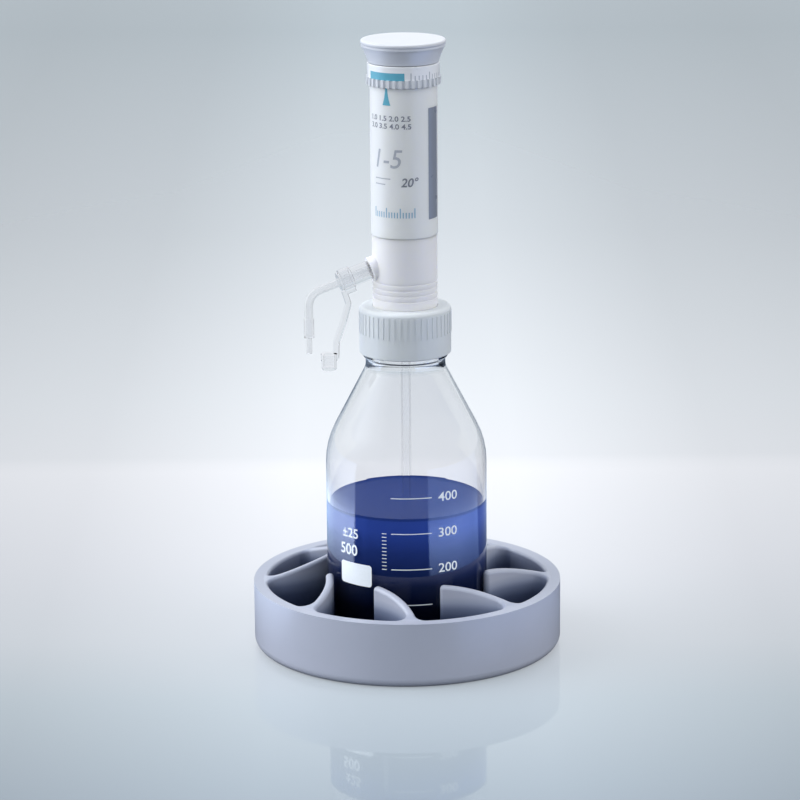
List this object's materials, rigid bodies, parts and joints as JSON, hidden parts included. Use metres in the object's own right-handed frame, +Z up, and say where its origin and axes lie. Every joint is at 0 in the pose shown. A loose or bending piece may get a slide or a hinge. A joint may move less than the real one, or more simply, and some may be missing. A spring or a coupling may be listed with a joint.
{
  "type": "bottle top dispenser",
  "caption": "Bottle top dispenser with pull knob, volume ring and bent spout, screwed on a glass reagent bottle in a round vaned stand.",
  "frame": {"origin": "centre of the stand's foot, on the bench", "axes": "+Z up along the bottle's axis; the spout points along -X"},
  "size_m": [0.1654, 0.1654, 0.3283],
  "materials": {
    "stand_plastic": "satin, grey-blue",
    "bottle_glass": "clear",
    "reagent": "clear deep blue liquid",
    "nut_plastic": "satin, slightly translucent",
    "seal": "soft",
    "frosted_plastic": "frosted translucent",
    "valve_plastic": "white",
    "valve_ceramic": "polished",
    "tube_plastic": "translucent",
    "spring_steel": "bright",
    "barrel_glass": "clear",
    "sleeve_white": "satin",
    "housing_white": "satin, printed",
    "window_grey": "smoked",
    "ring_plastic": "satin",
    "scale_plastic": "glossy, printed",
    "knob_grey": "satin",
    "cap_white": "glossy",
    "clear_plastic": "clear"
  },
  "bodies": {
    "stand": {"bottle_stand": "stand_plastic"},
    "bottle_with_reagent": {"bottle": "bottle_glass", "liquid": "reagent"},
    "head": {"bottle_gasket": "seal", "valve_block": "frosted_plastic", "intake_valve": "valve_plastic", "intake_tube": "tube_plastic", "outlet_spring": "spring_steel", "outlet_plug": "valve_plastic", "glass_cylinder": "barrel_glass", "cylinder_seal": "seal", "rod_guide": "valve_plastic", "label_sleeve": "housing_white", "sight_window": "window_grey", "outlet_fitting": "clear_plastic", "spout_tube": "tube_plastic", "nozzle_sleeve": "clear_plastic", "nozzle_tip": "tube_plastic"},
    "nut": {"union_nut": "nut_plastic"},
    "volume_dial": {"setting_ring": "ring_plastic", "scale_ring": "scale_plastic", "stop_sleeve": "valve_plastic"},
    "plunger": {"knob": "knob_grey", "knob_cap": "cap_white", "knob_screw": "spring_steel", "plunger_sleeve": "sleeve_white", "stop_peg": "spring_steel", "piston_rod": "spring_steel", "piston": "valve_ceramic"},
    "suction_ball": {"intake_ball": "valve_ceramic"},
    "discharge_ball": {"outlet_ball": "valve_ceramic"},
    "swinging_cap": {"cap_arm": "clear_plastic", "closing_cap": "clear_plastic"}
  },
  "joints": [
    {"name": "bottle_lift", "type": "slide", "parent": "stand", "child": "bottle_with_reagent", "axis": [0, 0, 1], "range_m": [0, 0.06]},
    {"name": "head_lift", "type": "slide", "parent": "bottle_with_reagent", "child": "head", "axis": [0, 0, 1], "range_m": [0, 0.19]},
    {"name": "nut_turn", "type": "hinge", "parent": "head", "child": "nut", "pos_m": [0, 0, 0.174], "axis": [0, 0, 1], "continuous": true},
    {"name": "volume_turn", "type": "hinge", "parent": "head", "child": "volume_dial", "pos_m": [0, 0, 0.307], "axis": [0, 0, 1], "range_deg": [-240, 0]},
    {"name": "plunger_stroke", "type": "slide", "parent": "head", "child": "plunger", "axis": [0, 0, 1], "range_m": [0, 0.048]},
    {"name": "suction_ball_lift", "type": "slide", "parent": "head", "child": "suction_ball", "axis": [0, 0, 1], "range_m": [0, 0.0015]},
    {"name": "discharge_ball_lift", "type": "slide", "parent": "head", "child": "discharge_ball", "axis": [0, 0, 1], "range_m": [0, 0.0012], "deforming": ["outlet_spring"]},
    {"name": "cap_swing", "type": "hinge", "parent": "head", "child": "swinging_cap", "pos_m": [-0.03188, 0, 0.20229], "axis": [-0.9489, 0, -0.3156], "range_deg": [-100, 100]}
  ]
}
